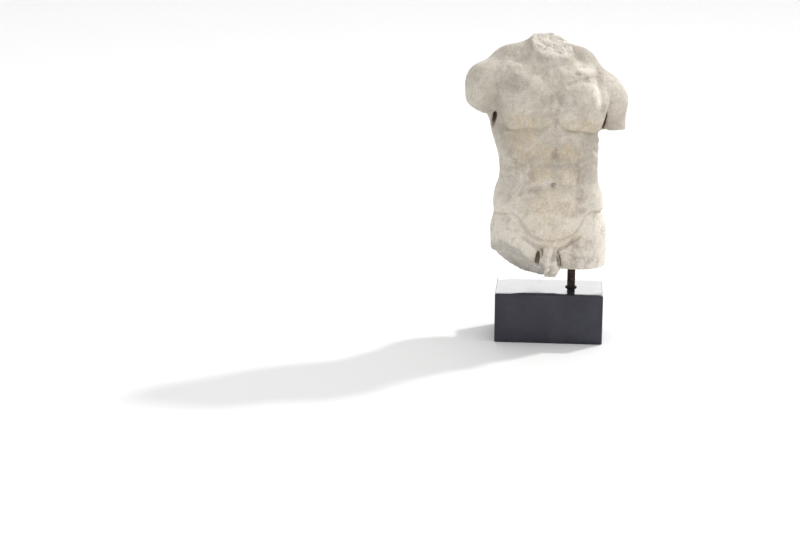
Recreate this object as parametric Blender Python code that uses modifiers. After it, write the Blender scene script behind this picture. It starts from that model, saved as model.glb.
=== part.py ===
# A weathered marble torso of the classical male type, held on a steel rod above a black block.
#
# Metres, +Z up. The front looks along -Y and +X is on the viewer's right. The origin is the centre of the
# block's underside. The torso is modelled in its own frame, in carver's units of one millimetre on a torso
# 470 mm tall: z = 0 is the flat saw cut through the thigh that stands over the rod.

import math

import bmesh
import bpy
import numpy as np
from mathutils import Matrix, Vector, noise

# Driving dimensions, in metres
BLOCK_WIDTH = 0.214
BLOCK_DEPTH = 0.140
BLOCK_HEIGHT = 0.100
BLOCK_EDGE_RADIUS = 0.003

ROD_RADIUS = 0.008
ROD_X = 0.044
ROD_Y = 0.0
ROD_SHOWING = 0.050
ROD_IN_BLOCK = 0.055
ROD_IN_TORSO = 0.090
SEAT_GAP = 0.0003

COLLAR_RADIUS = 0.0115
COLLAR_THICKNESS = 0.0018

TORSO_HEIGHT = 0.470
CARVED_HEIGHT = 470.0
UNIT = TORSO_HEIGHT / CARVED_HEIGHT
CUT_HEIGHT = BLOCK_HEIGHT + ROD_SHOWING

# How finely the stone is made
BLOCKOUT_VOXEL = 3.6
TORSO_TRIANGLES = 9400
ROUND_SIDES = 32
SHARP_ANGLE = math.radians(40)


# Clay: distances to simple masses, and ways to run them together. Inside is negative.


def joined(a, b, blend):
    """Two masses as one, with a soft valley of that width between them."""
    h = np.clip(0.5 + 0.5 * (b - a) / blend, 0.0, 1.0)
    return b + (a - b) * h - blend * h * (1.0 - h)


def kept(a, b, blend):
    """What both a and b hold, with the edge between them rounded."""
    return -joined(-a, -b, blend)


def soft_step(value, low, high):
    t = np.clip((value - low) / (high - low), 0.0, 1.0)
    return t * t * (3.0 - 2.0 * t)


def along(z, stations):
    """A value that runs smoothly through (height, value) stations, lowest first."""
    heights = np.array([s[0] for s in stations], float)
    values = np.array([s[1] for s in stations], float)
    slopes = np.gradient(values, heights)
    z = np.clip(z, heights[0], heights[-1])
    i = np.clip(np.searchsorted(heights, z) - 1, 0, len(heights) - 2)
    span = heights[i + 1] - heights[i]
    t = (z - heights[i]) / span
    return (
        (1 + 2 * t) * (1 - t) ** 2 * values[i]
        + t * (1 - t) ** 2 * span * slopes[i]
        + t * t * (3 - 2 * t) * values[i + 1]
        + t * t * (t - 1) * span * slopes[i + 1]
    )


def turn(pitch=0.0, roll=0.0, yaw=0.0):
    """Rows are the axes of a mass tilted by these angles, in degrees, about X, Y and Z."""
    angles = [math.radians(a) for a in (pitch, roll, yaw)]
    matrix = Matrix.Rotation(angles[2], 3, "Z") @ Matrix.Rotation(angles[1], 3, "Y")
    return np.array(matrix @ Matrix.Rotation(angles[0], 3, "X")).T


def pad(p, centre, radii, **tilt):
    """Distance to an ellipsoid of clay."""
    q = (p - np.array(centre)) @ turn(**tilt).T
    radii = np.array(radii, float)
    near = np.linalg.norm(q / radii, axis=1)
    far = np.linalg.norm(q / radii**2, axis=1)
    return near * (near - 1.0) / np.maximum(far, 1e-9)


def strand(p, start, end, start_radius, end_radius):
    """Distance to a round muscle that tapers from start to end."""
    start, end = np.array(start, float), np.array(end, float)
    line = end - start
    t = np.clip((p - start) @ line / (line @ line), 0.0, 1.0)
    radius = start_radius + (end_radius - start_radius) * t
    return np.linalg.norm(p - start - t[:, None] * line, axis=1) - radius


def beyond(p, point, normal):
    """Distance past a plane, positive on the side its normal points to."""
    normal = np.array(normal, float)
    return (p - np.array(point, float)) @ (normal / np.linalg.norm(normal))


def path_distance(x, z, path):
    """(distance, side) of points in the front view from a line of (x, z) points. Side is positive on its left."""
    best = np.full(len(x), 1e9)
    side = np.zeros(len(x))
    for (ax, az), (bx, bz) in zip(path, path[1:]):
        dx, dz = bx - ax, bz - az
        t = np.clip(((x - ax) * dx + (z - az) * dz) / (dx * dx + dz * dz), 0.0, 1.0)
        ex, ez = x - ax - t * dx, z - az - t * dz
        d = np.hypot(ex, ez)
        nearer = d < best
        best = np.where(nearer, d, best)
        side = np.where(nearer, np.sign(dx * ez - dz * ex), side)
    return best, side


def break_roughness(p, size, height):
    return height * np.array([noise.fractal(Vector(v) / size, 1.0, 2.1, 3) for v in p])


def curve_through(points, steps=5):
    """A smooth line through (x, z) points."""
    points = [Vector(p) for p in points]
    ends = [points[0] * 2 - points[1], *points, points[-1] * 2 - points[-2]]
    line = []
    for a, b, c, d in zip(ends, ends[1:], ends[2:], ends[3:]):
        for i in range(steps):
            t = i / steps
            line.append(
                0.5
                * (
                    2 * b
                    + (c - a) * t
                    + (2 * a - 5 * b + 4 * c - d) * t * t
                    + (3 * b - a - 3 * c + d) * t**3
                )
            )
    return [*line, points[-1]]


# The pose: how the upright, symmetric figure is set in its stance

SPINE_X = [(-20, -4), (40, -4), (90, -6), (125, -8), (193, -9.5), (258, -13), (340, -11), (410, -11), (460, -10)]
TWIST = [(-20, 3), (40, 5), (112, 9), (170, 12), (258, 14), (460, 14)]
SHOULDER_DROP = [(-20, 0), (150, 0), (258, 2), (310, 4.0), (350, 7.0), (385, 7.9), (410, 4.4), (435, 2.8), (460, 2)]


def stand_upright(p):
    """Points of the standing stone, taken back to the upright and symmetric figure."""
    z = p[:, 2]
    x = p[:, 0] - along(z, SPINE_X)
    z = z + np.tan(np.radians(along(z, SHOULDER_DROP))) * x
    a = np.radians(along(z, TWIST))
    return np.column_stack(
        [np.cos(a) * x + np.sin(a) * p[:, 1], np.cos(a) * p[:, 1] - np.sin(a) * x, z]
    )


def take_stance(p):
    """The other way: a point of the upright figure, set in the stance."""
    x, y, z = p
    a = math.radians(float(along(np.array([z]), TWIST)[0]))
    wx = math.cos(a) * x - math.sin(a) * y
    wy = math.sin(a) * x + math.cos(a) * y
    z -= math.tan(math.radians(float(along(np.array([z]), SHOULDER_DROP)[0]))) * wx
    return wx + float(along(np.array([z]), SPINE_X)[0]), wy, z


# The trunk, as sections up the body: half width, depth in front, depth behind

HALF_WIDTH = [
    (-40, 106), (0, 111), (45, 114), (85, 113), (105, 108), (125, 105), (160, 98), (193, 94.5),
    (225, 97), (262, 103), (300, 104), (335, 100), (365, 86), (392, 62), (420, 42), (440, 20),
]  # fmt: skip
FRONT_DEPTH = [
    (-40, 50), (0, 55), (45, 60), (85, 63), (105, 64), (125, 65), (160, 64), (193, 64),
    (225, 67), (262, 73), (290, 76), (320, 75), (350, 68), (380, 54), (410, 36), (440, 15),
]  # fmt: skip
BACK_DEPTH = [
    (-40, 58), (0, 62), (45, 66), (85, 65), (105, 62), (125, 58), (160, 53), (193, 52),
    (225, 57), (262, 64), (300, 70), (335, 70), (365, 62), (392, 52), (420, 40), (440, 20),
]  # fmt: skip
TRUNK_SQUARENESS = 2.35
TRUNK_TOP = 440


def trunk(p):
    x, y, z = p.T
    depth = np.where(y < 0, along(z, FRONT_DEPTH), along(z, BACK_DEPTH))
    n = TRUNK_SQUARENESS
    share = (
        np.abs(x / along(z, HALF_WIDTH)) ** n + np.abs(y / depth) ** n
    ) ** (1 / n)
    radial = np.hypot(x, y)
    walls = np.where(share > 1e-6, (1.0 - 1.0 / np.maximum(share, 1e-6)) * radial, -40.0)
    return kept(np.maximum(walls, -40.0), z - TRUNK_TOP, 10.0)


# The muscles. Each takes points with x folded to one side, so that left and right are carved alike


def chest(d, q):
    d = joined(d, pad(q, (48, -42, 322), (58, 40, 62), yaw=-5), 14)
    d = joined(d, pad(q, (80, -26, 332), (35, 36, 56), yaw=-26, roll=-10), 16)
    return joined(d, pad(q, (76, -40, 296), (22, 24, 24), yaw=-20), 14)


def belly(d, q):
    return joined(d, pad(q, (10, -44, 112), (52, 30, 58)), 14)


def flanks(d, q):
    d = joined(d, pad(q, (75, -8, 137), (30, 55, 34), roll=4), 16)
    return joined(d, pad(q, (62, -26, 190), (31, 36, 58)), 18)


def ribs(d, q):
    d = joined(d, pad(q, (60, -30, 248), (37, 38, 48), roll=10), 16)
    for i in range(3):
        centre = (86 - 4 * i, -34 - 5 * i, 262 - 20 * i)
        d = joined(d, pad(q, centre, (10, 19, 8), pitch=-30), 12)
    return d


def back(d, q):
    d = joined(d, pad(q, (72, 26, 282), (35, 40, 70), roll=8), 14)
    d = joined(d, pad(q, (58, 50, 325), (36, 24, 48), roll=-14), 10)
    d = joined(d, strand(q, (17, 46, 90), (20, 42, 235), 15, 14), 12)
    return joined(d, strand(q, (20, 42, 235), (17, 52, 350), 14, 13), 12)


def hips(d, q):
    d = joined(d, strand(q, (58, -4, 64), (58, -6, -60), 56, 55), 8)
    return joined(d, pad(q, (52, 38, 68), (54, 50, 60)), 9)


def shoulders(d, q):
    d = joined(d, strand(q, (18, 36, 420), (70, 24, 402), 26, 24), 14)
    d = joined(d, strand(q, (70, 22, 400), (116, 8, 365), 24, 28), 20)
    d = joined(d, pad(q, (60, -4, 366), (60, 42, 35)), 18)
    d = joined(d, pad(q, (52, 34, 380), (62, 34, 44)), 20)
    d = joined(d, pad(q, (0, 28, 405), (40, 30, 60)), 12)
    return joined(d, pad(q, (110, 4, 348), (42, 44, 40), roll=12), 24)


# The two flat saw cuts: the height of the arm's (the thigh's is z = 0), where each starts, and the stone left to cut
ARM_CUT = 268.0
ARM_SIDE = (107.0, 113.0)
THIGH_SIDE = (20.0, 26.0)
SAW_SPARE = 7.0


def arms(d, p, q):
    """The stumps of the arms, each ending in its own break."""
    arm = joined(pad(q, (119, 4, 338), (43, 43, 47), roll=10), strand(q, (126, 8, 330), (133, 10, 230), 35, 32), 12)
    worn_end = beyond(p, (-150, 0, 318), (-0.42, 0.1, -0.9))
    cut_end = ARM_CUT - SAW_SPARE * soft_step(p[:, 0], *ARM_SIDE) - p[:, 2]
    rough = np.zeros(len(p))
    near = (np.abs(arm) < 25) & (p[:, 2] < 345)
    rough[near] = break_roughness(p[near], 17.0, 1.6)
    arm = np.where(p[:, 0] < 0, kept(arm, worn_end + rough, 12.0), kept(arm, cut_end, 2.0))
    d = joined(d, arm, 12)
    return joined(d, strand(p, (-130, 4, 322), (-119, 8, 262), 11, 7), 6)


def collar_bones(d, q):
    return joined(d, strand(q, (14, -42, 384), (92, -20, 386), 9, 6), 14)


def folded(p):
    return np.column_stack([np.abs(p[:, 0]), p[:, 1:]])


def neck(d, p):
    column = strand(p, (-2, 8, 370), (3, 0, 470), 41, 40)
    for side in (-1, 1):
        start, end = (4 + 10 * side, -40, 388), (10 + 34 * side, -10, 466)
        column = joined(column, strand(p, start, end, 4, 8), 10)
    return joined(d, column, 6)


def pubis(d, q):
    return joined(d, pad(q, (0, -54, 58), (32, 16, 18)), 6)


def genitals(d, p):
    for side in (-1, 1):
        d = joined(d, pad(p, (0.5 + 10.5 * side, -64, 11 + 2.5 * side), (13, 15, 19)), 4)
    return joined(d, strand(p, (-2, -66, 40), (-5, -78, 4), 9.5, 8), 3)


# The chisel: lines cut into the masses, in the front or the back view of the upright figure

CUIRASS_LINE = curve_through(
    [(132, 106), (110, 108), (96, 111), (79, 114), (67, 108), (58, 95), (50, 81), (36, 68), (20, 62), (0, 60)]
)
GROIN_LINE = curve_through([(56, 64), (42, 56), (28, 45), (15, 39)])
PECTORAL_LINE = curve_through(
    [(0, 297), (8, 291), (20, 282), (34, 279), (56, 278), (76, 273), (88, 274), (96, 288), (104, 310), (108, 330)]
)
RIB_ARCH = curve_through([(4, 284), (20, 270), (42, 246), (58, 220), (66, 196)])
WAIST_LINE = curve_through([(0, 165), (20, 164), (44, 160), (72, 154), (100, 155)])
BELLY_BLOCKS = (((24, 268), (20, 13), 3.4), ((26, 230), (22, 19), 6.4), ((27, 186), (22, 17), 6.2))


def ledge(q, path, drop, fade, softness=3.0):
    """Sinks the surface on the right-hand side of a line, dying out away from it."""
    distance, side = path_distance(q[:, 0], q[:, 2], path)
    signed = -distance * side
    return drop * soft_step(signed, -softness, softness) * np.exp(-np.maximum(signed, 0) / fade)


def groove(q, path, depth, width):
    distance, _ = path_distance(q[:, 0], q[:, 2], path)
    return depth * np.exp(-((distance / width) ** 2))


def swelling(q, centre, reach, rise):
    """A low, rounded-square bulge in the front view."""
    along_x, along_z = (q[:, 0] - centre[0]) / reach[0], (q[:, 2] - centre[1]) / reach[1]
    return rise * np.exp(-np.abs(along_x) ** 3 - np.abs(along_z) ** 3)


def front_lines(d, p, q):
    x, z = q[:, 0], q[:, 2]
    front = soft_step(-p[:, 1], 2, 22)
    cut = ledge(q, CUIRASS_LINE, -4.2, 16) + groove(q, CUIRASS_LINE, 4.6, 3.4)
    cut += groove(q, GROIN_LINE, 6.0, 3.6)
    cut += ledge(q, PECTORAL_LINE, 6.5, 24, softness=2.2) + groove(q, PECTORAL_LINE, 2.4, 3.2)
    cut += ledge(q, RIB_ARCH, 3.4, 20, softness=7.0)
    cut += groove(q, WAIST_LINE, 3.0, 6.0)
    for centre, reach, rise in BELLY_BLOCKS:
        cut -= swelling(q, centre, reach, rise)
    midline = soft_step(z, 176, 196) * soft_step(-z, -372, -330)
    cut += 3.6 * midline * np.exp(-((x / 6.0) ** 2))
    return d + cut * front


# The drill: a narrow hollow each, as centre, radii and tilt in the standing stone
HOLLOWS = (
    ((6, -70, 172), (7.0, 14, 5.5), {"yaw": 12}),
    ((-118, -28, 296), (5.5, 26, 30), {"roll": 9}),
    ((100, -2, 287), (3.6, 24, 24), {"roll": 8}),
    ((-19.5, -66, 24), (4.4, 15, 18), {"roll": 6}),
    ((25, -65, 20), (6.0, 16, 21), {"roll": -6}),
)


def drill_hollows(d, p):
    """The navel, and the deep slits at the armpits and on both sides of the genitals."""
    for centre, radii, tilt in HOLLOWS:
        d = kept(d, -pad(p, centre, radii, **tilt), 2.0)
    return d


def back_lines(d, p, q):
    z = q[:, 2]
    behind = soft_step(p[:, 1], 5, 25)
    furrow = soft_step(z, 92, 150) * soft_step(-z, -380, -310)
    cleft = soft_step(-z, -104, -60)
    cut = 7.0 * furrow * np.exp(-((q[:, 0] / 9.0) ** 2))
    cut += 9.0 * cleft * np.exp(-((q[:, 0] / 5.0) ** 2))
    return d + cut * behind


# The breaks: where the neck, the arms and the thighs are lost


def breaks(d, p):
    rough = np.zeros(len(p))
    near = d < 25
    rough[near] = break_roughness(p[near], 17.0, 2.2)
    neck_face = beyond(p, (2, -45, 416), (0.13, -0.38, 1.0))
    d = kept(d, neck_face + rough * 1.3, 2.5)
    left_thigh = beyond(p, (-73, -62, 43), (-0.48, -0.54, -0.69))
    d = kept(d, np.where(p[:, 0] < -10, left_thigh, -50.0) + rough * 1.2, 2.5)
    below = np.maximum(-25.0 - p[:, 0], 0.0)
    underside = -18.0 + 48.0 * (below / 94.0) ** 2.3
    d = kept(d, (underside - p[:, 2]) * 0.9 + rough, 4.0)
    right_thigh = -p[:, 2] - 1.5 * np.maximum(THIGH_SIDE[0] - p[:, 0], 0)
    return kept(d, right_thigh - SAW_SPARE * soft_step(p[:, 0], *THIGH_SIDE), 2.0)


def stone(p):
    """Distance to the surface of the finished torso, in carver's units."""
    u = stand_upright(p)
    q = folded(u)
    d = trunk(u)
    for mass in (back, ribs, flanks, belly, hips, pubis, shoulders, chest, collar_bones):
        d = mass(d, q)
    d = arms(d, p, q)
    d = neck(d, u)
    d = front_lines(d, u, q)
    d = back_lines(d, u, q)
    d = genitals(d, u)
    d = drill_hollows(d, p)
    return breaks(d, p)


# Making the meshes


def new_object(name, mesh, collection):
    obj = bpy.data.objects.new(name, mesh)
    collection.objects.link(obj)
    return obj


def mesh_from(build, name):
    mesh = bpy.data.meshes.new(name)
    work = bmesh.new()
    build(work)
    work.to_mesh(mesh)
    work.free()
    return mesh


def material(name, colour, roughness, metallic=0.0):
    made = bpy.data.materials.new(name)
    made.use_nodes = True
    shader = made.node_tree.nodes["Principled BSDF"]
    shader.inputs["Base Color"].default_value = (*colour, 1.0)
    shader.inputs["Roughness"].default_value = roughness
    shader.inputs["Metallic"].default_value = metallic
    made.diffuse_color = (*colour, 1.0)
    return made


def cylinder(name, radius, bottom, top, collection, sides=ROUND_SIDES):
    """A round bar about the rod's axis, between two heights."""

    def build(work):
        bmesh.ops.create_cone(
            work, cap_ends=True, segments=sides, radius1=radius, radius2=radius, depth=top - bottom
        )

    obj = new_object(name, mesh_from(build, name), collection)
    obj.location = (ROD_X, ROD_Y, (top + bottom) / 2)
    obj.data.shade_smooth()
    obj.data.set_sharp_from_angle(angle=SHARP_ANGLE)
    return obj


def drill(obj, cutter):
    """Cuts the cutter's shape out of obj."""
    cutter.hide_render = True
    cutter.display_type = "WIRE"
    hole = obj.modifiers.new("drilled", "BOOLEAN")
    hole.operation = "DIFFERENCE"
    hole.object = cutter


def block_of_stone(collection):
    """The rough block: an egg for each large mass, fused and evened out into one skin."""
    work = bmesh.new()
    eggs = [
        ((0, 0, 235), (104, 66, 200)),
        ((0, 0, 60), (110, 66, 110)),
        ((12, 2, 430), (42, 42, 60)),
        ((4, -68, 18), (20, 22, 34)),
    ]
    for side in (-1, 1):
        eggs += [
            ((125 * side, 5, 335), (44, 46, 75)),
            ((60 * side, 12, 385), (72, 34, 44)),
            ((52 * side, -48, 320), (56, 34, 50)),
            ((55 * side, 30, 60), (56, 60, 110)),
            ((74 * side, 10, 140), (40, 60, 60)),
            ((132 * side, 10, 290), (32, 32, 60)),
        ]
    for centre, radii in eggs:
        place = Matrix.Translation(take_stance(centre)) @ Matrix.Diagonal((*radii, 1.0))
        bmesh.ops.create_uvsphere(work, u_segments=48, v_segments=32, radius=1.0, matrix=place)
    mesh = bpy.data.meshes.new("torso")
    work.to_mesh(mesh)
    work.free()
    return new_object("torso", mesh, collection)


def apply_modifiers(obj):
    graph = bpy.context.evaluated_depsgraph_get()
    mesh = bpy.data.meshes.new_from_object(obj.evaluated_get(graph))
    obj.modifiers.clear()
    old = obj.data
    obj.data = mesh
    bpy.data.meshes.remove(old)


def remesh(obj, voxel):
    skin = obj.modifiers.new("skin", "REMESH")
    skin.mode = "VOXEL"
    skin.voxel_size = voxel
    apply_modifiers(obj)


def positions(mesh):
    flat = np.empty(len(mesh.vertices) * 3, np.float32)
    mesh.vertices.foreach_get("co", flat)
    return flat.reshape(-1, 3).astype(float)


def normals(mesh):
    flat = np.empty(len(mesh.vertices) * 3, np.float32)
    mesh.vertex_normals.foreach_get("vector", flat)
    return flat.reshape(-1, 3).astype(float)


def steepest(surface, p, reach=0.6):
    """(distance, direction) from points to the surface, with the direction in which the distance grows."""
    d = surface(p)
    slope = np.column_stack([surface(p + reach * axis) - d for axis in np.eye(3)]) / reach
    return d, slope / np.maximum(np.sum(slope**2, axis=1), 0.2)[:, None]


def settle(mesh, surface, rounds, longest_step, straight=False):
    """Moves every vertex onto the surface: straight to it from far off, or along its own normal when near."""
    for _ in range(rounds):
        p = positions(mesh)
        if straight:
            distance, direction = steepest(surface, p)
        else:
            distance, direction = surface(p), normals(mesh)
        p -= direction * np.clip(distance, -longest_step, longest_step)[:, None] * 0.9
        mesh.vertices.foreach_set("co", p.astype(np.float32).ravel())
        mesh.update()


def open_hollows(torso, cutters):
    """Drills the narrow hollows, which a skin that only moves could not sink into."""
    for number, (centre, radii, tilt) in enumerate(HOLLOWS):
        place = Matrix.Translation(centre) @ Matrix(turn(**tilt).T.tolist()).to_4x4()
        place = place @ Matrix.Diagonal((*radii, 1.0))

        def build(work, place=place):
            bmesh.ops.create_uvsphere(work, u_segments=24, v_segments=16, radius=1.0, matrix=place)

        bit = new_object(f"hollow_{number}", mesh_from(build, f"hollow_{number}"), cutters)
        drill(torso, bit)
    apply_modifiers(torso)


def carve_torso(collection, cutters):
    torso = block_of_stone(collection)
    remesh(torso, BLOCKOUT_VOXEL * 2)
    for _ in range(3):
        settle(torso.data, stone, rounds=4, longest_step=8.0, straight=True)
        remesh(torso, BLOCKOUT_VOXEL * 1.6)
    open_hollows(torso, cutters)
    remesh(torso, BLOCKOUT_VOXEL)
    settle(torso.data, stone, rounds=4, longest_step=2.5, straight=True)
    remesh(torso, BLOCKOUT_VOXEL)
    settle(torso.data, stone, rounds=3, longest_step=1.5)
    saw(torso, cutters)
    return torso


def saw(torso, cutters):
    """Takes off the spare stone under the arm and the thigh with two flat cuts."""
    for name, (side, _), height in (("arm_cut", ARM_SIDE, ARM_CUT), ("thigh_cut", THIGH_SIDE, 0.0)):
        low, high = Vector((side + 1.0, -150.0, height - 40.0)), Vector((200.0, 150.0, height))
        place = Matrix.Translation((low + high) / 2) @ Matrix.Diagonal((*(high - low), 1.0))

        def build(work, place=place):
            bmesh.ops.create_cube(work, size=1.0, matrix=place)

        drill(torso, new_object(name, mesh_from(build, name), cutters))
    apply_modifiers(torso)


def lighten(obj, triangles):
    fewer = obj.modifiers.new("fewer", "DECIMATE")
    fewer.ratio = triangles / (2 * len(obj.data.polygons))
    apply_modifiers(obj)


def torso_on_rod(parts, cutters):
    torso = carve_torso(parts, cutters)
    torso.data.transform(Matrix.Scale(UNIT, 4))
    lighten(torso, TORSO_TRIANGLES)
    torso.location = (0, 0, CUT_HEIGHT)
    bore_top = CUT_HEIGHT + ROD_IN_TORSO + SEAT_GAP
    bore = cylinder("torso_bore", ROD_RADIUS + SEAT_GAP, CUT_HEIGHT - ROD_SHOWING / 2, bore_top, cutters)
    drill(torso, bore)
    torso.data.shade_smooth()
    return torso


def block(parts, cutters):
    def build(work):
        size = Matrix.Diagonal((BLOCK_WIDTH, BLOCK_DEPTH, BLOCK_HEIGHT, 1.0))
        bmesh.ops.create_cube(work, size=1.0, matrix=size)

    made = new_object("base_block", mesh_from(build, "base_block"), parts)
    made.location = (0, 0, BLOCK_HEIGHT / 2)
    edges = made.modifiers.new("eased_edges", "BEVEL")
    edges.width = BLOCK_EDGE_RADIUS
    edges.segments = 4
    edges.limit_method = "ANGLE"
    hole_bottom = BLOCK_HEIGHT - ROD_IN_BLOCK - SEAT_GAP
    hole = cylinder("block_hole", ROD_RADIUS + SEAT_GAP, hole_bottom, BLOCK_HEIGHT + SEAT_GAP * 10, cutters)
    drill(made, hole)
    made.data.shade_smooth()
    made.data.set_sharp_from_angle(angle=SHARP_ANGLE)
    return made


def rod_and_collar(parts, cutters):
    rod = cylinder("support_rod", ROD_RADIUS, BLOCK_HEIGHT - ROD_IN_BLOCK, CUT_HEIGHT + ROD_IN_TORSO, parts)
    foot = BLOCK_HEIGHT + SEAT_GAP
    collar = cylinder("rod_collar", COLLAR_RADIUS, foot, foot + COLLAR_THICKNESS, parts)
    hole = cylinder("collar_hole", ROD_RADIUS + SEAT_GAP, foot - 0.01, foot + COLLAR_THICKNESS + 0.01, cutters)
    drill(collar, hole)
    return rod, collar


def main():
    for old in list(bpy.data.objects):
        bpy.data.objects.remove(old)
    parts = bpy.data.collections.new("marble_torso")
    cutters = bpy.data.collections.new("cutters")
    for collection in (parts, cutters):
        bpy.context.scene.collection.children.link(collection)
    torso = torso_on_rod(parts, cutters)
    rod, collar = rod_and_collar(parts, cutters)
    base = block(parts, cutters)
    torso.data.materials.append(material("weathered_marble", (0.62, 0.58, 0.5), 0.75))
    rod.data.materials.append(material("rusted_steel", (0.1, 0.06, 0.05), 0.6, metallic=0.8))
    collar.data.materials.append(material("blackened_steel", (0.05, 0.05, 0.05), 0.5, metallic=0.8))
    base.data.materials.append(material("black_stone", (0.03, 0.03, 0.04), 0.35))


main()
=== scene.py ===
# %% [markdown]
# # A marble torso on its rod and block
#
# The object is a weathered marble torso of a man, broken off at the neck, the arms and the thighs, held up
# by a steel rod that stands in a block of black stone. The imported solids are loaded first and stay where
# they are: every piece made here takes its place from them.

# %% The frame
import math

import bmesh
import bpy
import numpy as np
from mathutils import Matrix, Vector, noise


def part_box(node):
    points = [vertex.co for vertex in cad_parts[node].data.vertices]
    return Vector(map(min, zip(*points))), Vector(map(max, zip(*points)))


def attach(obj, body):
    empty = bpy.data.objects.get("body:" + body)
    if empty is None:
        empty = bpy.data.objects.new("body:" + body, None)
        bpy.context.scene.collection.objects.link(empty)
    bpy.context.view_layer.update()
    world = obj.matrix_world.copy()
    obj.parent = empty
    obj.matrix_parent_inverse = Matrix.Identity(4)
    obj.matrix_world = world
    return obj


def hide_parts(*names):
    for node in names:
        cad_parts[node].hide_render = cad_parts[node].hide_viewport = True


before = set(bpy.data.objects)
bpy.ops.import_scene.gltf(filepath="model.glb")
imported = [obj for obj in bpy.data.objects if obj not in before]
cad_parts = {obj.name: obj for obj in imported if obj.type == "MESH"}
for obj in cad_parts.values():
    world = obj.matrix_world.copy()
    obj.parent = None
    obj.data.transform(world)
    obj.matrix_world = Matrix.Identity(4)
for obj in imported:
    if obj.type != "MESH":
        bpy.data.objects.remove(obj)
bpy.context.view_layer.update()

# %% [markdown]
# ## Camera
#
# The photograph is taken from a little above the shoulders, looking down by 13.5 degrees, with a lens of
# about 67 mm. The block stands right of the middle, so the camera is turned to the left by almost 6
# degrees.

# %% Camera
CAMERA_PLACE = (0.0, -2.959, 0.848)
CAMERA_DOWN = math.radians(13.5)
CAMERA_LEFT = math.radians(5.854)
LENS_LENGTH = 67.5

lens = bpy.data.cameras.new("camera")
lens.lens = LENS_LENGTH
lens.sensor_width = 36.0
camera = bpy.data.objects.new("camera", lens)
camera.location = CAMERA_PLACE
camera.rotation_euler = (math.pi / 2 - CAMERA_DOWN, 0.0, CAMERA_LEFT)
bpy.context.scene.collection.objects.link(camera)
bpy.context.scene.camera = camera
print("camera at", CAMERA_PLACE)

# %% [markdown]
# ## The floor
#
# The real torso stands on a white studio floor that has no visible end. One very large square does for it.
# It is painted a little under pure white, so that the light and the shadow on it still show.

# %% The floor
FLOOR_PAINT = (0.82, 0.82, 0.82, 1.0)


def studio_floor(size):
    mesh = bpy.data.meshes.new("studio_floor")
    half = size / 2
    corners = [(-half, -half, 0), (half, -half, 0), (half, half, 0), (-half, half, 0)]
    mesh.from_pydata(corners, [], [(0, 1, 2, 3)])
    floor = bpy.data.objects.new("studio_floor", mesh)
    bpy.context.scene.collection.objects.link(floor)
    paint = bpy.data.materials.new("white_floor")
    paint.use_nodes = True
    shader = paint.node_tree.nodes["Principled BSDF"]
    shader.inputs["Base Color"].default_value = FLOOR_PAINT
    shader.inputs["Roughness"].default_value = 0.9
    shader.inputs["Specular IOR Level"].default_value = 0.1
    mesh.materials.append(paint)
    return floor


studio_floor(60.0)
print("a white floor, 60 m across")

# %% [markdown]
# ## Lamp and sky
#
# The light in the studio is very bright and even. One soft lamp stands on the right and behind. It is near,
# so the long pale shadow spreads as it runs to the left, and its strength is held the same over the whole
# floor, so the floor stays white. It also gives the bright edges on the right. A white sky does the rest,
# so there is no dark side, and its lit band low down hides the floor's end.

# %% Lamp and sky
BRIGHT_SIDE = (0.9, 0.3, 0.3)
BACKDROP_SIDE = (0.0, 0.97, 0.25)
UPWARDS = (0.0, 0.0, 1.0)


def soft_lamp(place, strength, radius):
    """A round lamp whose light is as strong far away as it is near."""
    lamp = bpy.data.lights.new("soft_lamp", "POINT")
    lamp.energy = strength * 4 * math.pi
    lamp.shadow_soft_size = radius
    lamp.use_nodes = True
    tree = lamp.node_tree
    falloff = tree.nodes.new("ShaderNodeLightFalloff")
    falloff.inputs["Strength"].default_value = 1.0
    tree.links.new(falloff.outputs["Constant"], tree.nodes["Emission"].inputs["Strength"])
    obj = bpy.data.objects.new("soft_lamp", lamp)
    obj.location = place
    obj.visible_camera = False
    bpy.context.scene.collection.objects.link(obj)
    return obj


def white_sky(dim, bright, backdrop, horizon):
    """A white sky, dim on the left, bright on the right, with a lit backdrop, and lit low down all round."""
    sky = bpy.data.worlds.new("white_sky")
    sky.use_nodes = True
    tree = sky.node_tree
    tree.nodes["Background"].inputs["Color"].default_value = (1.0, 1.0, 1.0, 1.0)
    direction = tree.nodes.new("ShaderNodeTexCoord").outputs["Generated"]

    def towards(aim, low, high, to_low, to_high):
        """Light that grows from to_low to_high as the sky lies nearer to that aim."""
        dot = tree.nodes.new("ShaderNodeVectorMath")
        dot.operation = "DOT_PRODUCT"
        dot.inputs[1].default_value = Vector(aim).normalized()
        spread = tree.nodes.new("ShaderNodeMapRange")
        spread.interpolation_type = "SMOOTHSTEP"
        ends = {"From Min": low, "From Max": high, "To Min": to_low, "To Max": to_high}
        for name, value in ends.items():
            spread.inputs[name].default_value = value
        tree.links.new(direction, dot.inputs[0])
        tree.links.new(dot.outputs["Value"], spread.inputs["Value"])
        return spread.outputs["Result"]

    total = tree.nodes.new("ShaderNodeMath")
    tree.links.new(towards(BRIGHT_SIDE, -0.7, 0.9, dim, bright), total.inputs[0])
    tree.links.new(towards(BACKDROP_SIDE, 0.9, 0.98, 0.0, backdrop), total.inputs[1])
    level = tree.nodes.new("ShaderNodeMath")
    level.operation = "MAXIMUM"
    tree.links.new(total.outputs[0], level.inputs[0])
    tree.links.new(towards(UPWARDS, 0.02, 0.20, horizon, 0.0), level.inputs[1])
    tree.links.new(level.outputs[0], tree.nodes["Background"].inputs["Strength"])
    bpy.context.scene.world = sky


soft_lamp(place=(1.50, 1.26, 2.06), strength=1.7, radius=0.11)
white_sky(dim=0.62, bright=1.22, backdrop=2.0, horizon=1.08)
bpy.context.scene.view_settings.view_transform = "Standard"
print("one soft lamp and a white sky")

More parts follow.
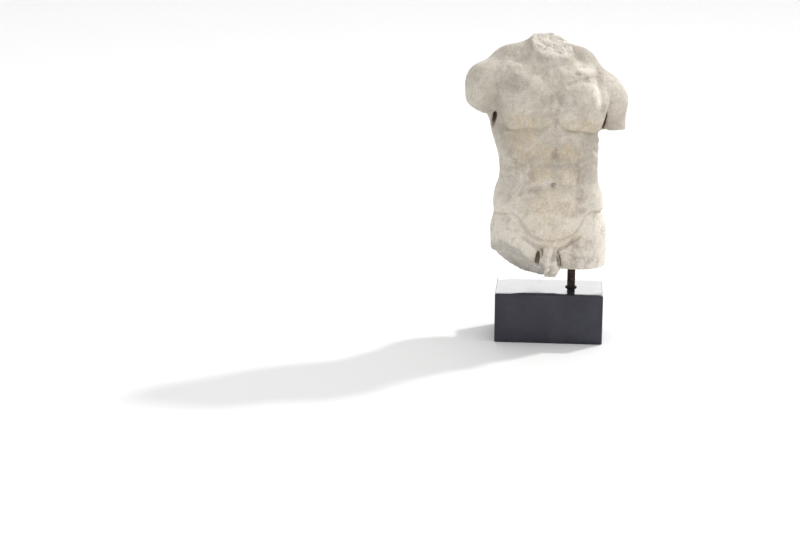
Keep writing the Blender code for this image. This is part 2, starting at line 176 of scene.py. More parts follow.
# %% [markdown]
# ## Clay made of distances
#
# A body in stone has no flat faces or straight edges, so boxes and cylinders don't describe it. Here it is
# clay made of distances: each mass is a function that says how far a point is from its surface, negative
# inside, and two masses flow together where their distances are blended. One function of space then holds
# the whole torso.

# %% Clay made of distances
def joined(a, b, blend):
    """Two masses as one, with a soft valley of that width between them."""
    h = np.clip(0.5 + 0.5 * (b - a) / blend, 0.0, 1.0)
    return b + (a - b) * h - blend * h * (1.0 - h)


def kept(a, b, blend):
    """What both a and b hold, with the edge between them rounded."""
    return -joined(-a, -b, blend)


def soft_step(value, low, high):
    t = np.clip((value - low) / (high - low), 0.0, 1.0)
    return t * t * (3.0 - 2.0 * t)


swell = float(joined(np.zeros(1), np.zeros(1), 8.0)[0])
print("two faces blended over 8 mm swell by", -swell, "mm where they meet")

# %% [markdown]
# ## Eggs, strands and planes
#
# The torso needs few shapes of clay: an egg for a full muscle, a tapered strand for a long one, and a plane
# for a break. A value that changes with the height gives the trunk its width. Balls and tubes joined as
# meshes would leave seams between them, which distances don't.

# %% Eggs, strands and planes
def along(z, stations):
    """A value that runs smoothly through (height, value) stations, lowest first."""
    heights = np.array([s[0] for s in stations], float)
    values = np.array([s[1] for s in stations], float)
    slopes = np.gradient(values, heights)
    z = np.clip(z, heights[0], heights[-1])
    i = np.clip(np.searchsorted(heights, z) - 1, 0, len(heights) - 2)
    span = heights[i + 1] - heights[i]
    t = (z - heights[i]) / span
    return (
        (1 + 2 * t) * (1 - t) ** 2 * values[i]
        + t * (1 - t) ** 2 * span * slopes[i]
        + t * t * (3 - 2 * t) * values[i + 1]
        + t * t * (t - 1) * span * slopes[i + 1]
    )


def turn(pitch=0.0, roll=0.0, yaw=0.0):
    """Rows are the axes of a mass tilted by these angles, in degrees, about X, Y and Z."""
    angles = [math.radians(a) for a in (pitch, roll, yaw)]
    matrix = Matrix.Rotation(angles[2], 3, "Z") @ Matrix.Rotation(angles[1], 3, "Y")
    return np.array(matrix @ Matrix.Rotation(angles[0], 3, "X")).T


def pad(p, centre, radii, **tilt):
    """Distance to an ellipsoid of clay."""
    q = (p - np.array(centre)) @ turn(**tilt).T
    radii = np.array(radii, float)
    near = np.linalg.norm(q / radii, axis=1)
    far = np.linalg.norm(q / radii**2, axis=1)
    return near * (near - 1.0) / np.maximum(far, 1e-9)


def strand(p, start, end, start_radius, end_radius):
    """Distance to a round muscle that tapers from start to end."""
    start, end = np.array(start, float), np.array(end, float)
    line = end - start
    t = np.clip((p - start) @ line / (line @ line), 0.0, 1.0)
    radius = start_radius + (end_radius - start_radius) * t
    return np.linalg.norm(p - start - t[:, None] * line, axis=1) - radius


def beyond(p, point, normal):
    """Distance past a plane, positive on the side its normal points to."""
    normal = np.array(normal, float)
    return (p - np.array(point, float)) @ (normal / np.linalg.norm(normal))


egg = pad(np.zeros((1, 3)), (0, 0, 10), (5, 5, 5))
print("the origin is", float(egg[0]), "mm from an egg of 5 mm whose centre is 10 mm up")

# %% [markdown]
# ## The stance
#
# The figure leans and turns: its spine bends, its chest is turned against its hips and its shoulders slope.
# It is far easier to model it upright and symmetric, and to bend space instead. Points are in millimetres
# here, with z = 0 at the flat cut over the rod.

# %% The stance
# fmt: off
SPINE_X = [
    (-20, -4), (40, -4), (90, -6), (125, -8), (193, -9.5), (258, -13), (340, -11), (410, -11), (460, -10),
]
TWIST = [(-20, 3), (40, 5), (112, 9), (170, 12), (258, 14), (460, 14)]
SHOULDER_DROP = [
    (-20, 0), (150, 0), (235, 2.2), (275, 4.6), (310, 5.4),
    (350, 7.2), (385, 7.9), (410, 4.4), (435, 2.8), (460, 2),
]
# fmt: on


def stand_upright(p):
    """Points of the standing stone, taken back to the upright and symmetric figure."""
    z = p[:, 2]
    x = p[:, 0] - along(z, SPINE_X)
    z = z + np.tan(np.radians(along(z, SHOULDER_DROP))) * x
    a = np.radians(along(z, TWIST))
    return np.column_stack([np.cos(a) * x + np.sin(a) * p[:, 1], np.cos(a) * p[:, 1] - np.sin(a) * x, z])


def folded(p):
    """Points of both sides, folded to the side of positive x."""
    return np.column_stack([np.abs(p[:, 0]), p[:, 1:]])


chest_turn = float(along(np.array([330.0]), TWIST)[0])
print("the chest is turned by", chest_turn, "degrees")

# %% [markdown]
# ## The trunk
#
# The trunk is a rounded, slightly square section whose half width, depth in front and depth behind run
# smoothly up the body: wide at the hips, narrow at the waist, wide again at the ribs.

# %% The trunk
# fmt: off
HALF_WIDTH = [
    (-40, 106), (0, 111), (45, 114), (85, 113), (105, 108), (125, 105), (160, 98), (193, 94.5),
    (225, 97), (262, 103), (300, 104), (335, 100), (365, 86), (392, 62), (420, 42), (440, 20),
]
FRONT_DEPTH = [
    (-40, 50), (0, 55), (45, 60), (85, 63), (105, 64), (125, 65), (160, 64), (193, 64),
    (225, 67), (262, 73), (290, 76), (320, 75), (350, 68), (380, 54), (410, 36), (440, 15),
]
BACK_DEPTH = [
    (-40, 58), (0, 62), (45, 66), (85, 65), (105, 62), (125, 58), (160, 53), (193, 52),
    (225, 57), (262, 64), (300, 70), (335, 70), (365, 62), (392, 52), (420, 40), (440, 20),
]
# fmt: on
TRUNK_SQUARENESS = 2.35
TRUNK_TOP = 440


def trunk(p):
    x, y, z = p.T
    depth = np.where(y < 0, along(z, FRONT_DEPTH), along(z, BACK_DEPTH))
    n = TRUNK_SQUARENESS
    share = (np.abs(x / along(z, HALF_WIDTH)) ** n + np.abs(y / depth) ** n) ** (1 / n)
    radial = np.hypot(x, y)
    walls = np.where(share > 1e-6, (1.0 - 1.0 / np.maximum(share, 1e-6)) * radial, -40.0)
    return kept(np.maximum(walls, -40.0), z - TRUNK_TOP, 10.0)


waist = float(along(np.array([193.0]), HALF_WIDTH)[0]) * 2
print("waist", waist, "mm wide")

# %% [markdown]
# ## The muscles
#
# Each muscle is one or more eggs and tapered strands, melted into the trunk. The points come folded to one
# side, so both sides are carved alike; the stance makes them differ.

# %% The muscles
def chest(d, q):
    d = joined(d, pad(q, (48, -42, 322), (58, 40, 62), yaw=-5), 14)
    d = joined(d, pad(q, (80, -26, 332), (35, 36, 56), yaw=-26, roll=-10), 16)
    return joined(d, pad(q, (76, -40, 296), (22, 24, 24), yaw=-20), 14)


def belly(d, q):
    return joined(d, pad(q, (10, -44, 112), (52, 30, 58)), 14)


def flanks(d, q):
    d = joined(d, pad(q, (75, -8, 137), (30, 55, 34), roll=4), 16)
    return joined(d, pad(q, (62, -26, 190), (31, 36, 58)), 18)


def ribs(d, q):
    d = joined(d, pad(q, (60, -30, 248), (37, 38, 48), roll=10), 16)
    for i in range(3):
        centre = (86 - 4 * i, -34 - 5 * i, 262 - 20 * i)
        d = joined(d, pad(q, centre, (10, 19, 8), pitch=-30), 12)
    return d


def back(d, q):
    d = joined(d, pad(q, (72, 26, 282), (35, 40, 70), roll=8), 14)
    d = joined(d, pad(q, (58, 50, 325), (36, 24, 48), roll=-14), 10)
    d = joined(d, strand(q, (17, 46, 90), (20, 42, 235), 15, 14), 12)
    return joined(d, strand(q, (20, 42, 235), (17, 52, 350), 14, 13), 12)


def hips(d, q):
    d = joined(d, strand(q, (58, -4, 64), (58, -6, -60), 56, 55), 8)
    return joined(d, pad(q, (52, 38, 68), (54, 50, 60)), 9)


def shoulders(d, q):
    d = joined(d, strand(q, (18, 36, 420), (70, 24, 402), 26, 24), 14)
    d = joined(d, strand(q, (70, 22, 400), (116, 8, 365), 24, 28), 20)
    d = joined(d, pad(q, (60, -4, 366), (60, 42, 35)), 18)
    d = joined(d, pad(q, (52, 34, 380), (62, 34, 44)), 20)
    d = joined(d, pad(q, (0, 28, 405), (40, 30, 60)), 12)
    return joined(d, pad(q, (110, 4, 348), (42, 44, 40), roll=12), 24)


def collar_bones(d, q):
    return joined(d, strand(q, (14, -42, 384), (92, -20, 386), 9, 6), 14)


def pubis(d, q):
    return joined(d, pad(q, (0, -54, 58), (32, 16, 18)), 6)


MUSCLES = (back, ribs, flanks, belly, hips, pubis, shoulders, chest, collar_bones)
print(len(MUSCLES), "groups of muscles")

# %% [markdown]
# ## Arm stumps, neck and genitals
#
# These are made on the real left and right. The arm on the viewer's left ends in a rounded, worn break, and
# the other was sawn off flat. A break is a rough plane that takes away what lies beyond it. Stone is left
# standing below each saw cut, which is made at the end.

# %% Arm stumps, neck and genitals
BREAK_LUMPS = 17.0
ARM_BREAK = ((-150, 0, 318), (-0.42, 0.1, -0.9))
ARM_CUT = 268.0
ARM_SIDE = (107.0, 113.0)
THIGH_SIDE = (20.0, 26.0)
SAW_SPARE = 7.0


def break_roughness(p, height):
    """The unevenness of a break, in lumps of about BREAK_LUMPS."""
    return height * np.array([noise.fractal(Vector(v) / BREAK_LUMPS, 1.0, 2.1, 3) for v in p])


def arms(d, p, q):
    """The stumps of the arms, each ending in its own break."""
    arm = pad(q, (119, 4, 338), (43, 43, 47), roll=10)
    arm = joined(arm, strand(q, (126, 8, 330), (133, 10, 230), 35, 32), 12)
    worn_end = beyond(p, *ARM_BREAK)
    cut_end = ARM_CUT - SAW_SPARE * soft_step(p[:, 0], *ARM_SIDE) - p[:, 2]
    rough = np.zeros(len(p))
    near = (np.abs(arm) < 25) & (p[:, 2] < 345)
    rough[near] = break_roughness(p[near], 1.6)
    arm = np.where(p[:, 0] < 0, kept(arm, worn_end + rough, 12.0), kept(arm, cut_end, 2.0))
    d = joined(d, arm, 12)
    d = joined(d, strand(p, (-130, 4, 322), (-109, 6, 280), 11, 9.5), 8)
    return joined(d, strand(p, (-109, 6, 280), (-100, 6, 236), 9.5, 9), 8)


def neck(d, p):
    column = strand(p, (0, 8, 370), (10, 0, 470), 41, 40)
    for side in (-1, 1):
        start, end = (4 + 10 * side, -40, 388), (16 + 34 * side, -10, 466)
        column = joined(column, strand(p, start, end, 4, 8), 10)
    return joined(d, column, 6)


def genitals(d, p):
    for x, z in ((-14.5, 8.5), (7.5, 9.5)):
        d = joined(d, pad(p, (x, -64, z), (13, 15, 19)), 4)
    return joined(d, strand(p, (-5, -66, 40), (-9, -78, 4), 9.5, 8), 3)


print("arm stumps, neck and genitals ready")

# %% [markdown]
# ## Lines in the front view
#
# The edge of the chest, the arch of the ribs, the waist crease and the line over the hips are lines cut in
# the front view. Each is a smooth path of (x, z) points. They could be drawn by hand on a finished mesh,
# but a path of a few points is easier to move.

# %% Lines in the front view
def path_distance(x, z, path):
    """(distance, side) of points in the front view from a line. Side is positive on the line's left."""
    best = np.full(len(x), 1e9)
    side = np.zeros(len(x))
    for (ax, az), (bx, bz) in zip(path, path[1:]):
        dx, dz = bx - ax, bz - az
        t = np.clip(((x - ax) * dx + (z - az) * dz) / (dx * dx + dz * dz), 0.0, 1.0)
        ex, ez = x - ax - t * dx, z - az - t * dz
        d = np.hypot(ex, ez)
        nearer = d < best
        best = np.where(nearer, d, best)
        side = np.where(nearer, np.sign(dx * ez - dz * ex), side)
    return best, side


def curve_through(points, steps=5):
    """A smooth line through (x, z) points."""
    points = [Vector(p) for p in points]
    ends = [points[0] * 2 - points[1], *points, points[-1] * 2 - points[-2]]
    line = []
    for a, b, c, d in zip(ends, ends[1:], ends[2:], ends[3:]):
        for i in range(steps):
            t = i / steps
            bend = (2 * a - 5 * b + 4 * c - d) * t * t
            line.append(0.5 * (2 * b + (c - a) * t + bend + (3 * b - a - 3 * c + d) * t**3))
    return [*line, points[-1]]


print("a smooth line through 3 points has", len(curve_through([(0, 0), (10, 5), (20, 0)])), "points")

# %% [markdown]
# ## Grooves, ledges and blocks
#
# The chisel left two kinds of line. A groove cuts along a path, as in the groin, and a ledge sinks one side
# of it, as under the chest. Between them the belly swells in low blocks. All of them are added to the
# distance itself, so they stay sharp however fine the mesh is.

# %% Grooves, ledges and blocks
CUIRASS_LINE = curve_through(
    [(132, 106), (110, 108), (96, 111), (79, 114), (67, 108), (58, 95), (50, 81), (36, 68), (20, 62), (0, 60)]
)
GROIN_LINE = curve_through([(56, 64), (42, 56), (28, 45), (15, 39)])
PECTORAL_LINE = curve_through(
    [(0, 298), (8, 292), (20, 283), (34, 280), (56, 279), (76, 275)]
    + [(88, 276), (96, 289), (104, 310), (108, 330)]
)
RIB_ARCH = curve_through([(4, 284), (20, 272), (38, 250), (47, 224), (49, 188)])
WAIST_LINE = curve_through([(0, 165), (20, 164), (44, 160), (72, 154), (100, 155)])
BELLY_BLOCKS = (((24, 266), (20, 13), 5.4), ((26, 230), (22, 19), 9.6), ((27, 186), (22, 17), 9.0))
BLOCK_SQUARENESS = 2.8


def ledge(q, path, drop, fade, softness=3.0):
    """Sinks the surface on the right-hand side of a line, dying out away from it."""
    distance, side = path_distance(q[:, 0], q[:, 2], path)
    signed = -distance * side
    return drop * soft_step(signed, -softness, softness) * np.exp(-np.maximum(signed, 0) / fade)


def groove(q, path, depth, width):
    """A soft channel along a line."""
    distance, _ = path_distance(q[:, 0], q[:, 2], path)
    return depth * np.exp(-((distance / width) ** 2))


def swelling(q, centre, reach, rise):
    """A low, rounded-square bulge in the front view."""
    along_x = (q[:, 0] - centre[0]) / reach[0]
    along_z = (q[:, 2] - centre[1]) / reach[1]
    return rise * np.exp(-np.abs(along_x) ** BLOCK_SQUARENESS - np.abs(along_z) ** BLOCK_SQUARENESS)


def front_lines(d, p, q):
    x, z = q[:, 0], q[:, 2]
    front = soft_step(-p[:, 1], 2, 22)
    cut = ledge(q, CUIRASS_LINE, -6.4, 18) + groove(q, CUIRASS_LINE, 4.4, 3.3)
    cut += groove(q, GROIN_LINE, 5.2, 3.4)
    cut += ledge(q, PECTORAL_LINE, 7.0, 24, softness=2.8) + groove(q, PECTORAL_LINE, 2.0, 2.8)
    cut += ledge(q, RIB_ARCH, 5.4, 20, softness=6.0)
    cut += groove(q, WAIST_LINE, 3.6, 5.0) * soft_step(-x, -84, -50)
    for centre, reach, rise in BELLY_BLOCKS:
        cut -= swelling(q, centre, reach, rise)
    midline = soft_step(z, 176, 196) * soft_step(-z, -372, -330)
    cut += 3.6 * midline * np.exp(-((x / 5.6) ** 2))
    return d + cut * front


def back_lines(d, p, q):
    z = q[:, 2]
    behind = soft_step(p[:, 1], 5, 25)
    furrow = soft_step(z, 92, 150) * soft_step(-z, -380, -310)
    cleft = soft_step(-z, -104, -60)
    cut = 7.0 * furrow * np.exp(-((q[:, 0] / 9.0) ** 2))
    cut += 9.0 * cleft * np.exp(-((q[:, 0] / 5.0) ** 2))
    return d + cut * behind


print("the line over the hips has", len(CUIRASS_LINE), "points")

# %% [markdown]
# ## Hollows and breaks
#
# The drill made the navel and the deep slits at the armpits and groin. The breaks come last: the neck, the
# two thighs and the worn underside. Each plane has a name, because the marks on the skin read it once more.

# %% Hollows and breaks
HOLLOWS = (
    ((5, -70, 169), (7.6, 15, 6.2), {"yaw": 12}),
    ((-114.0, -30, 297), (4.4, 26, 36), {"roll": 13}),
    ((100, -2, 286), (3.4, 24, 24), {"roll": 8}),
    ((-24, -66, 22), (4.6, 16, 19), {"roll": 6}),
    ((18, -65, 18), (4.8, 18, 24), {"roll": -12}),
)


def drill_hollows(d, p):
    """The navel, and the deep slits at the armpits and on both sides of the genitals."""
    for centre, radii, tilt in HOLLOWS:
        d = kept(d, -pad(p, centre, radii, **tilt), 2.0)
    return d


NECK_BREAK = ((2, -45, 411.5), (0.24, -0.453, 1.0))
THIGH_BREAK = ((-73, -62, 43), (-0.48, -0.54, -0.69))
BREAK_RISE = 2.2


def past_underside(p):
    """Distance below the worn underside, which rises towards the outer side of the left thigh."""
    out = np.maximum(-25.0 - p[:, 0], 0.0)
    return (-18.0 + 48.0 * (out / 94.0) ** 2.3 - p[:, 2]) * 0.9


def breaks(d, p):
    rough = np.zeros(len(p))
    near = d < 25
    rough[near] = break_roughness(p[near], BREAK_RISE)
    d = kept(d, beyond(p, *NECK_BREAK) + rough * 1.3, 2.5)
    left_thigh = np.where(p[:, 0] < -10, beyond(p, *THIGH_BREAK), -50.0)
    d = kept(d, left_thigh + rough * 1.2, 2.5)
    d = kept(d, past_underside(p) + rough, 4.0)
    right_thigh = -p[:, 2] - 2.4 * np.maximum(THIGH_SIDE[0] - p[:, 0], 0)
    return kept(d, right_thigh - SAW_SPARE * soft_step(p[:, 0], *THIGH_SIDE), 2.0)


print(len(HOLLOWS), "drilled hollows")

# %% [markdown]
# ## The finest lines, and the whole stone
#
# The hollow under the collar bone, the edge of the chest, the muscles on the ribs and the nipples are too
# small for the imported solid, so they come in here. Then one function takes all the steps in a carver's
# order: masses, lines, drill and breaks.

# %% The finest lines, and the whole stone
COLLAR_HOLLOW = curve_through([(26, 369), (40, 373), (58, 378), (77, 385), (96, 394)])
CHEST_SIDE = curve_through([(89, 384), (90, 350), (92, 312)])
RIB_MUSCLES = (((86, 262), (94, 248)), ((80, 242), (90, 226)), ((74, 222), (86, 205)))
NIPPLES = ((-74, 300), (70, 300))


def fine_lines(d, u, q):
    front = soft_step(-u[:, 1], 2, 22)
    right_side = soft_step(u[:, 0], 0, 20)
    cut = groove(q, COLLAR_HOLLOW, 4.4, 5.6) * right_side
    cut = cut + groove(q, CHEST_SIDE, 4.2, 8.0) * (0.35 + 0.65 * right_side)
    for start, end in RIB_MUSCLES:
        cut = cut + groove(q, [start, end], 1.3, 4.5)
    for side, height in NIPPLES:
        away = np.hypot(u[:, 0] - side, u[:, 2] - height)
        cut = cut - 1.3 * np.exp(-((away / 3.6) ** 2)) + 0.5 * np.exp(-(((away - 7.0) / 2.5) ** 2))
    return d + cut * front


def stone(p, drilled=True):
    """Distance to the surface of the finished torso, or to the one it had before drilling."""
    u = stand_upright(p)
    q = folded(u)
    d = trunk(u)
    for mass in MUSCLES:
        d = mass(d, q)
    d = arms(d, p, q)
    d = neck(d, u)
    d = front_lines(d, u, q)
    d = fine_lines(d, u, q)
    d = back_lines(d, u, q)
    d = genitals(d, u)
    if drilled:
        d = drill_hollows(d, p)
    return breaks(d, p)


middle = stone(np.array([[0.0, 0.0, 200.0]]))
print("the middle of the waist is", round(float(-middle[0])), "mm under the surface")

# %% [markdown]
# ## Mesh helpers
#
# A mesh is built in a bmesh and changed by modifiers. Its points are read and written as one array, which
# is far quicker than one by one. The carving is in millimetres above the flat cut and the scene is in
# metres, so two helpers change between them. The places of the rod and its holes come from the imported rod.

# %% Mesh helpers
UNIT = 0.001
CUT_HEIGHT = 0.150
rod_low, rod_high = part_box("support_rod")
ROD_X = (rod_low[0] + rod_high[0]) / 2
ROD_Y = (rod_low[1] + rod_high[1]) / 2
ROD_RADIUS = (rod_high[0] - rod_low[0]) / 2


def new_piece(name, build):
    """A new object whose mesh is made by build, a function that fills a bmesh in world coordinates."""
    mesh = bpy.data.meshes.new(name)
    work = bmesh.new()
    build(work)
    work.to_mesh(mesh)
    work.free()
    piece = bpy.data.objects.new(name, mesh)
    bpy.context.scene.collection.objects.link(piece)
    return piece


def apply_modifiers(piece):
    graph = bpy.context.evaluated_depsgraph_get()
    mesh = bpy.data.meshes.new_from_object(piece.evaluated_get(graph))
    piece.modifiers.clear()
    piece.data = mesh


def remesh(piece, voxel):
    skin = piece.modifiers.new("skin", "REMESH")
    skin.mode = "VOXEL"
    skin.voxel_size = voxel
    apply_modifiers(piece)


def vertex_vectors(mesh, collection, name):
    flat = np.empty(len(mesh.vertices) * 3, np.float32)
    getattr(mesh, collection).foreach_get(name, flat)
    return flat.reshape(-1, 3).astype(float)


def to_carving(points):
    """World metres to millimetres above the flat cut."""
    return (points - np.array([0.0, 0.0, CUT_HEIGHT])) / UNIT


def put_back(mesh, p):
    points = p * UNIT + np.array([0.0, 0.0, CUT_HEIGHT])
    mesh.vertices.foreach_set("co", points.astype(np.float32).ravel())
    mesh.update()


def round_bar(work, radius, bottom, top, sides=64):
    """A plain bar on the rod's axis, which plugs a hole or drills one."""
    place = Matrix.Translation((ROD_X, ROD_Y, (top + bottom) / 2))
    bmesh.ops.create_cone(
        work, cap_ends=True, segments=sides, radius1=radius, radius2=radius, depth=top - bottom, matrix=place
    )


print("the rod stands at", round(ROD_X * 1000, 1), round(ROD_Y * 1000, 1), "mm")

# %% [markdown]
# ## The fine skin
#
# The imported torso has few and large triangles. Its form is right, but its edges are soft. Its bore is
# plugged, the shape is turned into an even skin of small squares, and each point of the skin is then moved
# onto the exact surface. The bore is cut again at the end.

# %% The fine skin
SKIN_VOXEL = 0.00226
FIRST_VOXEL = SKIN_VOXEL * 1.3
SETTLING = 0.9
PLUG_OVERLAP = 0.002
PLUG_RECESS = 0.0006


def settle(mesh, rounds, longest_step):
    """Moves every point of the skin along its normal, onto the surface of the stone."""
    for _ in range(rounds):
        p = to_carving(vertex_vectors(mesh, "vertices", "co"))
        outwards = vertex_vectors(mesh, "vertex_normals", "vector")
        p -= outwards * np.clip(stone(p), -longest_step, longest_step)[:, None] * SETTLING
        put_back(mesh, p)


def rough_torso(work):
    """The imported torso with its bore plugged."""
    work.from_mesh(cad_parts["torso"].data)
    round_bar(work, ROD_RADIUS + PLUG_OVERLAP, CUT_HEIGHT + PLUG_RECESS, rod_high[2] + PLUG_OVERLAP, sides=32)


torso = new_piece("marble_torso", rough_torso)
remesh(torso, FIRST_VOXEL)
settle(torso.data, rounds=3, longest_step=3.0)
remesh(torso, SKIN_VOXEL)
settle(torso.data, rounds=2, longest_step=1.2)
print("skin:", len(torso.data.vertices), "points")

# %% [markdown]
# ## Crust, stains, painted shade and painted highlights
#
# Ochre crust lies in patches under the chest and on the belly, and stains lie where water ran. Painted shade
# darkens creases and some darker parts, and painted highlights lighten the top of the shoulder and the side
# of the chest on the viewer's right. Painted maps could show them, but they need an unfolded mesh. Here each
# patch is a soft-edged egg of space, given by its centre and reach on the upright figure.

# %% Crust, stains, painted shade and painted highlights
CRUST = (
    ((-55, -70, 292), (48, 40, 18)),
    ((55, -70, 290), (46, 40, 18)),
    ((-22, -70, 236), (26, 40, 24)),
    ((28, -70, 234), (26, 40, 22)),
    ((-26, -70, 190), (26, 40, 20)),
    ((30, -70, 186), (28, 40, 20)),
    ((0, -80, 120), (60, 50, 48)),
    ((20, -80, 62), (60, 50, 26)),
    ((-60, -60, 250), (30, 40, 50)),
)
# Stains, together with painted shade: these darken the creases of the belly, the line under the right collar
# bone, the left side of the chest, the left flank, the sternum, the genitals and the right thigh.
STAINS_AND_SHADE = (
    ((-53, -60, 208), (15, 40, 38)),
    ((56, -50, 204), (15, 40, 44)),
    ((0, -70, 236), (7, 40, 50)),
    ((0, -70, 208), (46, 40, 6)),
    ((-46, -60, 150), (24, 40, 16)),
    ((54, -50, 130), (18, 40, 30)),
    ((-84, -40, 345), (14, 40, 44)),
    ((62, -30, 384), (40, 40, 8)),
    ((58, -60, 30), (34, 40, 36)),
    ((-3, -80, 14), (18, 40, 20)),
    ((-2, -70, 335), (20, 40, 34)),
    ((-76, -40, 200), (14, 40, 44)),
)
# Painted highlights: the top of the shoulder and the side of the chest on the viewer's right are lightened
# where the lamp strikes them.
PAINTED_HIGHLIGHTS = (
    ((70, -10, 400), (32, 50, 10)),
    ((80, -50, 350), (11, 40, 32)),
)


def patches(u, places):
    """Soft-edged patches at those places, on the upright figure."""
    marks = np.zeros(len(u))
    for centre, reach in places:
        share = np.linalg.norm((u - np.array(centre)) / np.array(reach), axis=1)
        marks = np.maximum(marks, 1.0 - soft_step(share, 0.35, 1.35))
    return marks


print(len(CRUST), "patches of crust,", len(STAINS_AND_SHADE), "stains and", len(PAINTED_HIGHLIGHTS), "bleached places")

# %% [markdown]
# ## Where the stone is broken and hollow
#
# Weather and breaks look different from place to place, so each point of the skin gets a few marks from 0
# to 1: how much it lies on a break, how deep it sits in a hollow, how much it is crusted or stained, and
# where shade and highlights are painted on. Both the relief and the colour read these marks.

# %% Marks on the skin
AIR_REACH = 9.0


def near_face(distance, p):
    """1 on a rough break and 0 away from it."""
    rough = break_roughness(p, BREAK_RISE)
    return 1.0 - soft_step(np.abs(distance + rough), 1.2, 4.0)


def broken_marks(p):
    """Marks of the neck's break, of the thigh's with the underside, and of the two arms' ends."""
    x, z = p[:, 0], p[:, 2]
    neck_face = near_face(beyond(p, *NECK_BREAK), p) * soft_step(z, 395, 405)
    thigh_face = near_face(beyond(p, *THIGH_BREAK), p) * soft_step(-x, 8, 14) * soft_step(-z, -64, -56)
    underside = near_face(past_underside(p), p) * soft_step(-x, -14, 6)
    arm_face = near_face(beyond(p, *ARM_BREAK), p) * soft_step(-x, 118, 126)
    arm_face = arm_face * soft_step(z, ARM_CUT, ARM_CUT + 14)
    cut_arm = (1.0 - soft_step(np.abs(z - ARM_CUT), 1.0, 3.0)) * soft_step(x, 100, 106)
    return neck_face, np.maximum(thigh_face, underside), np.maximum(arm_face, cut_arm)


def hollow_marks(p, outwards):
    """How little air a point has above it, or how deep in a drilled hollow it lies."""
    little_air = np.clip(1.0 - stone(p + AIR_REACH * outwards) / AIR_REACH, 0.0, 1.0)
    return np.maximum(little_air, soft_step(-stone(p, drilled=False), 0.8, AIR_REACH))


def keep_mark(mesh, name, values):
    """Stores a mark on the mesh, where relief and colour can read it."""
    mark = mesh.attributes.new(name, "FLOAT", "POINT")
    mark.data.foreach_set("value", values.astype(np.float32))


points = to_carving(vertex_vectors(torso.data, "vertices", "co"))
outwards = vertex_vectors(torso.data, "vertex_normals", "vector")
neck_mark, thigh_mark, arm_mark = broken_marks(points)
hollow_mark = hollow_marks(points, outwards)
upright = stand_upright(points)
crust_mark = patches(upright, CRUST)
stain_and_shade_mark = patches(upright, STAINS_AND_SHADE)
painted_highlight_mark = patches(upright, PAINTED_HIGHLIGHTS)
print("points on breaks:", int((np.maximum(neck_mark, thigh_mark) > 0.5).sum()))

# %% [markdown]
# ## Dents, chips and pits
#
# Noise that depends on the place alone gives three kinds of unevenness. Fractal noise makes soft dents.
# Cells make flat chips that each tilt their own way, and their middles make pits. Nothing is drawn at
# random, so the stone comes out the same every time.

# %% Dents, chips and pits
def texture_of(points, size, kind):
    """One kind of unevenness at every point, in lumps of that size."""
    return np.array([kind(Vector(v) / size) for v in points])


def dents(v):
    return noise.fractal(v, 0.9, 2.0, 4)


def facets(v):
    """Flat chips, each tilted its own way, as in broken marble."""
    centre = noise.voronoi(v)[1][0]
    return 2.0 * (v - centre).dot(noise.cell_vector(centre * 9.0) - Vector((0.5, 0.5, 0.5)))


def pits(v):
    """1 at the middle of a pit, and 0 away from it."""
    near = noise.voronoi(v)[0][0]
    return max(0.0, 1.0 - near * 2.6)


def unevenness(p, layers):
    """The sum of (rise, size, kind) layers."""
    return sum(rise * texture_of(p, size, kind) for rise, size, kind in layers)


print("a pit is", pits(Vector((0.0, 0.0, 0.0))), "deep at the origin")

# %% [markdown]
# ## Weathering
#
# Wind and water leave soft dents everywhere, pits where the crust came off, and ridges across the breaks.
# They are moved into the skin itself rather than painted, so they also catch the light at the outline.

# %% Weathering
PIT_SIZE = 7.5
PITTED_AREAS = 26.0
SOFT_DENTS = ((0.55, 16.0, dents), (0.28, 5.5, dents))
BREAK_CHIPS = ((1.6, 10.0, facets), (1.0, 5.5, facets), (0.6, 4.0, dents))
CHIPS = (
    ((44, 384), 5.5, 3.6),
    ((49, 382), 4.0, 3.0),
    ((84, 393), 7.0, 3.0),
    ((101, 113), 6.0, 2.4),
    ((-95, 118), 5.0, 1.4),
)


def weathering(p):
    """(relief, pits, breaks) of every point, the relief in millimetres outwards."""
    broken = np.maximum(neck_mark, thigh_mark)
    depth = unevenness(p, SOFT_DENTS)
    open_pits = texture_of(p, PIT_SIZE, pits) * soft_step(texture_of(p, PITTED_AREAS, dents), -0.05, 0.35)
    depth -= open_pits * (0.08 + 0.6 * crust_mark)
    chipped = unevenness(p, BREAK_CHIPS)
    depth += np.maximum(neck_mark, np.maximum(thigh_mark * 0.9, arm_mark * 0.3)) * chipped
    open_pits = open_pits * (0.15 + 0.85 * crust_mark)
    for (x, z), reach, sink in CHIPS:
        share = np.hypot(p[:, 0] - x, p[:, 2] - z) / reach
        chip = (1.0 - soft_step(share, 0.2, 1.0)) * (p[:, 1] < 0)
        depth -= sink * chip
        # A chip is also darkened, as painted shade in its hollow.
        open_pits = np.maximum(open_pits, 0.6 * chip)
    return depth, open_pits, broken


relief, pit_mark, broken_mark = weathering(points)
put_back(torso.data, points + outwards * relief[:, None])
skin_marks = {
    "broken": broken_mark,
    "neck_break": neck_mark,
    "hollow": hollow_mark,
    "crust": crust_mark,
    "pit": pit_mark,
    "stain_and_shade": stain_and_shade_mark,
    "painted_highlight": painted_highlight_mark,
}
for name, values in skin_marks.items():
    keep_mark(torso.data, name, values)
print("relief from", round(float(relief.min()), 2), "to", round(float(relief.max()), 2), "mm")

# %% [markdown]
# ## Saw cuts and the bore
#
# The arm and the thigh on the viewer's right were sawn flat, so those two faces are cut with boxes, which
# leaves their rims crisp. The rod goes up into the thigh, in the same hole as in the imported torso.

# %% Saw cuts and the bore
HOLE_GAP = 0.0003
DRILL_RUN = 0.02


def bore_shape(work):
    round_bar(work, ROD_RADIUS + HOLE_GAP, CUT_HEIGHT - DRILL_RUN, rod_high[2] + HOLE_GAP)


